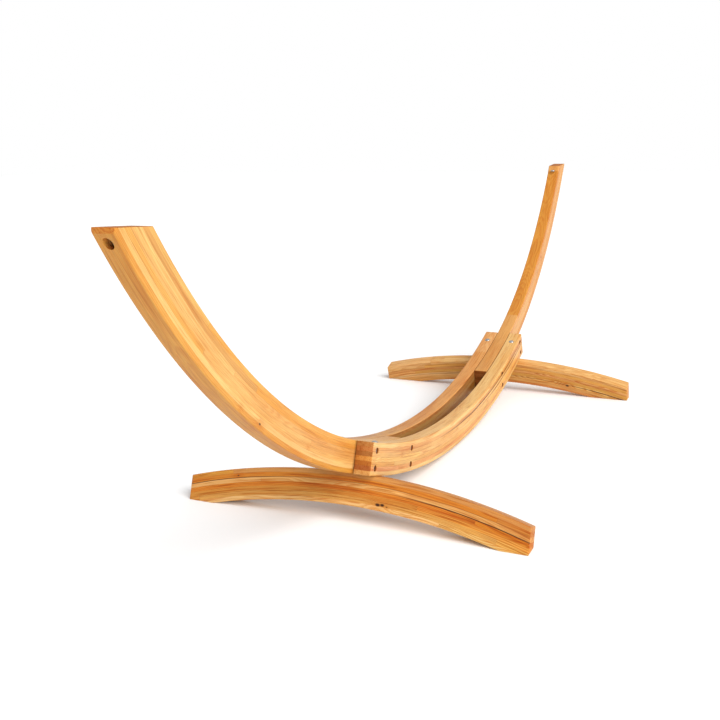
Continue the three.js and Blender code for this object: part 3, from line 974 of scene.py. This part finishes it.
nut_pattern = hex_nut()
joint_washer = washer_ring(JOINT_WASHER)
joint_grip = -2 * POCKET_FLOOR
joint_stack = bolt_stack(joint_grip, joint_washer, nut_pattern, hex_bolt)
# The joint bolts' zinc gets darker greys than the other bolts' zinc: painted shade for their place
# down in the counterbores.
joint_zinc_painted_dark = zinc_plate("joint zinc", 1.0, (0.34, 0.335, 0.33), (0.20, 0.195, 0.19))
for end in ENDS:
    for i, (place, axis) in enumerate(zip(JOINT_PLACES, JOINT_AXES[end])):
        at = Matrix.Translation((axis.x, POCKET_FLOOR, axis.z))
        seat = at @ Matrix.Rotation(math.pi / 2, 4, "X")
        turn = math.radians(8 + 13 * i)
        fit_bolt(f"{end}_joint_{place}", joint_stack, seat, turn, joint_zinc_painted_dark)
put_away([joint_stack[0][1], joint_washer])

# --- Foot bolts -----------------------------------------------------------------------------------
# Two longer M10 bolts hold each foot, straight down through a rail and the foot. Their low round
# heads lie on top of the rails, over square necks that keep them from turning, and their nuts sit
# in counterbores underneath.
ROUND_HEAD = 0.024
ROUND_HEAD_HEIGHT = 0.005
ROUND_HEAD_RIM = 0.0010
NECK = 0.010
NECK_LENGTH = 0.006
FOOT_WASHER = 0.024
FACET_RISE = 0.000236  # how far the frame's flat-sided arc stands in from the true one


def round_bolt(length):
    """A bolt with a low domed head whose underside is z = 0, and its shank pointing down."""
    bpy.ops.mesh.primitive_circle_add(
        vertices=64, radius=ROUND_HEAD / 2, fill_type="NGON", rotation=(math.pi, 0, 0)
    )
    bolt = bpy.context.object
    apply_place(bolt)
    edit(bolt)
    radius, height = ROUND_HEAD / 2, 0.0
    rise = ROUND_HEAD_HEIGHT - ROUND_HEAD_RIM
    dome = (radius**2 + rise**2) / (2 * rise)
    rings = [(1.0, ROUND_HEAD_RIM * 0.55), (0.985, ROUND_HEAD_RIM * 0.9)]
    for part in (0.95, 0.86, 0.74, 0.60, 0.45, 0.30, 0.15, 0.05):
        drop = dome - math.sqrt(dome**2 - (part * ROUND_HEAD / 2) ** 2)
        rings.append((part, ROUND_HEAD_HEIGHT - drop))
    for part, level in rings:
        smaller = part * ROUND_HEAD / 2 / radius
        bpy.ops.mesh.extrude_region_move(TRANSFORM_OT_translate={"value": (0, 0, level - height)})
        bpy.ops.transform.resize(value=(smaller, smaller, 1))
        radius, height = part * ROUND_HEAD / 2, level
    leave_edit()
    close_up(bolt)
    bpy.ops.mesh.primitive_cube_add(
        size=1, location=(0, 0, (0.001 - NECK_LENGTH) / 2), scale=(NECK, NECK, NECK_LENGTH + 0.001)
    )
    neck = bpy.context.object
    apply_place(neck)
    round_edges(neck, 0.0005, 2, lambda edge: True)
    combine(bolt, neck, "UNION")
    shank_end = THREAD_LENGTH - length
    shank = turned_bar(BOLT - 0.0001, shank_end, -NECK_LENGTH / 2, 0.0008)
    combine(bolt, shank, "UNION")
    combine(bolt, thread(-length, shank_end + 0.001), "UNION")
    return bolt


foot_grip = 2 * BEAM_DEPTH + FIT_GAP + FACET_RISE - FOOT_POCKET
foot_washer = washer_ring(FOOT_WASHER)
foot_stack = bolt_stack(foot_grip, foot_washer, nut_pattern, round_bolt)
foot_zinc = zinc_plate("foot zinc", 4.0, (0.56, 0.55, 0.54), (0.42, 0.41, 0.40))
head_point = RAIL_CENTRE + (RAIL_RADIUS - FACET_RISE) * seat_way
for end, half_circle in (("left", math.pi), ("right", 0.0)):
    for side in (-1, 1):
        at = Matrix.Translation((head_point.x, side * abs(RAIL_Y), head_point.z))
        seat = Matrix.Rotation(half_circle, 4, "Z") @ at @ Matrix.Rotation(-FOOT_LEAN, 4, "Y")
        where = "front" if seat.translation.y < 0 else "back"
        turn = math.radians(12 + 9 * side)
        fit_bolt(f"{end}_foot_{where}", foot_stack, seat, turn, foot_zinc)
put_away([foot_stack[0][1], foot_washer, nut_pattern])

# --- Eye bolts ------------------------------------------------------------------------------------
# One forged eye bolt through each arm's tip carries the hammock. Its ring lies level on the inner
# side, and its washer and nut are drawn up in the deep counterbore in the outer face.
EYE_RING = 0.009
EYE_WIRE = 0.007
EYE_NECK = 0.0012
EYE_WASHER = 0.025
entry_angle = math.acos((ARM_CENTRE.z - EYE_HEIGHT) / ARM_RADIUS)
EYE_ENTRY = ARM_CENTRE.x + ARM_RADIUS * math.sin(entry_angle)


def eye_bolt(length):
    """An eye bolt along Z: the timber's face is z = 0, with the ring above and the shank below."""
    ring_centre = EYE_NECK + EYE_WIRE / 2 + EYE_RING
    bpy.ops.mesh.primitive_torus_add(
        major_segments=72, minor_segments=28, major_radius=EYE_RING, minor_radius=EYE_WIRE / 2,
        location=(0, 0, ring_centre), rotation=(0, math.pi / 2, 0),
    )
    forged = bpy.context.object
    apply_place(forged)
    combine(forged, turned_bar(BOLT - 0.0001, -0.004, EYE_NECK + 0.002), "UNION")
    blend = forged.modifiers.new("forging", "REMESH")
    blend.mode = "VOXEL"
    blend.voxel_size = 0.0006
    soften = forged.modifiers.new("soften", "SMOOTH")
    soften.iterations = 5
    select_only(forged)
    for modifier in ("forging", "soften"):
        bpy.ops.object.modifier_apply(modifier=modifier)
    saw(forged, (0, 0, -0.002), (0, 0, -1))
    shank_end = THREAD_LENGTH - length
    combine(forged, turned_bar(BOLT - 0.0001, shank_end, EYE_NECK, 0.0008), "UNION")
    combine(forged, thread(-length, shank_end + 0.001), "UNION")
    return forged


under_nut = WASHER + 2 * FIT_GAP
eye_length = eye_floor.x + under_nut + NUT_HEIGHT + PAST_NUT - EYE_ENTRY
eye_steel = zinc_plate("eye zinc", 9.0, (0.50, 0.50, 0.50), (0.32, 0.32, 0.315))
towards_tip = Matrix.Rotation(math.pi / 2, 4, "Y")
eye_stack = (
    ("bolt", eye_bolt(eye_length), EYE_ENTRY, Matrix.Rotation(-math.pi / 2, 4, "Y")),
    ("washer", washer_ring(EYE_WASHER), eye_floor.x + FIT_GAP, towards_tip),
    ("nut", hex_nut(), eye_floor.x + under_nut, towards_tip),
)
for end, half_circle in (("left", math.pi), ("right", 0.0)):
    for part, pattern, x, along_bolt in eye_stack:
        place = Matrix.Translation((x, 0, EYE_HEIGHT)) @ along_bolt
        seat = Matrix.Rotation(half_circle, 4, "Z") @ place
        stack = ((part, pattern, Matrix(), False),)
        fit_bolt(f"{end}_eye", stack, seat, 0.0, eye_steel)
put_away([entry[1] for entry in eye_stack])

# --- Studio ---------------------------------------------------------------------------------------
# A plain white floor under one broad soft light from above the left front, with an even fill.
bpy.ops.object.select_all(action="DESELECT")
bpy.ops.mesh.primitive_plane_add(size=60, location=(0, 0, -0.0005))
floor = bpy.context.object
floor.name = "studio_floor"
apply_place(floor)
white = bpy.data.materials.new("studio white")
floor_wires = Wiring(white)
floor_wires.shader.inputs["Base Color"].default_value = (0.90, 0.90, 0.90, 1)
floor_wires.shader.inputs["Roughness"].default_value = 0.9
floor_wires.shader.inputs["Specular IOR Level"].default_value = 0.1
floor.data.materials.append(white)

lamp = bpy.data.lights.new("studio_key", "SUN")
lamp.energy = 3.7
lamp.angle = math.radians(50)
key = bpy.data.objects.new("studio_key", lamp)
key.rotation_euler = Vector((-0.40, -0.72, 0.62)).to_track_quat("Z", "Y").to_euler()
bpy.context.scene.collection.objects.link(key)

world = bpy.data.worlds.new("studio")
bpy.context.scene.world = world
world.use_nodes = True
sky = world.node_tree
backdrop = sky.nodes["Background"]
seen = sky.nodes.new("ShaderNodeLightPath")
fill = sky.nodes.new("ShaderNodeMapRange")
fill.inputs["To Min"].default_value = 0.60
fill.inputs["To Max"].default_value = 1.0
sky.links.new(seen.outputs["Is Camera Ray"], fill.inputs["Value"])
sky.links.new(fill.outputs[0], backdrop.inputs["Strength"])
backdrop.inputs["Color"].default_value = (1, 1, 1, 1)

lens = bpy.data.cameras.new("studio_camera")
lens.lens = 46.44
lens.sensor_width = 36
camera = bpy.data.objects.new("studio_camera", lens)
camera.matrix_world = (
    Matrix.Translation((-3.6863, -1.3173, 1.2990))
    @ Matrix.Rotation(math.radians(24.87 - 90), 4, "Z")
    @ Matrix.Rotation(math.radians(90 - 13.37), 4, "X")
    @ Matrix.Rotation(math.radians(-1.15), 4, "Z")
)
bpy.context.scene.collection.objects.link(camera)
bpy.context.scene.camera = camera
bpy.context.scene.view_settings.view_transform = "Standard"
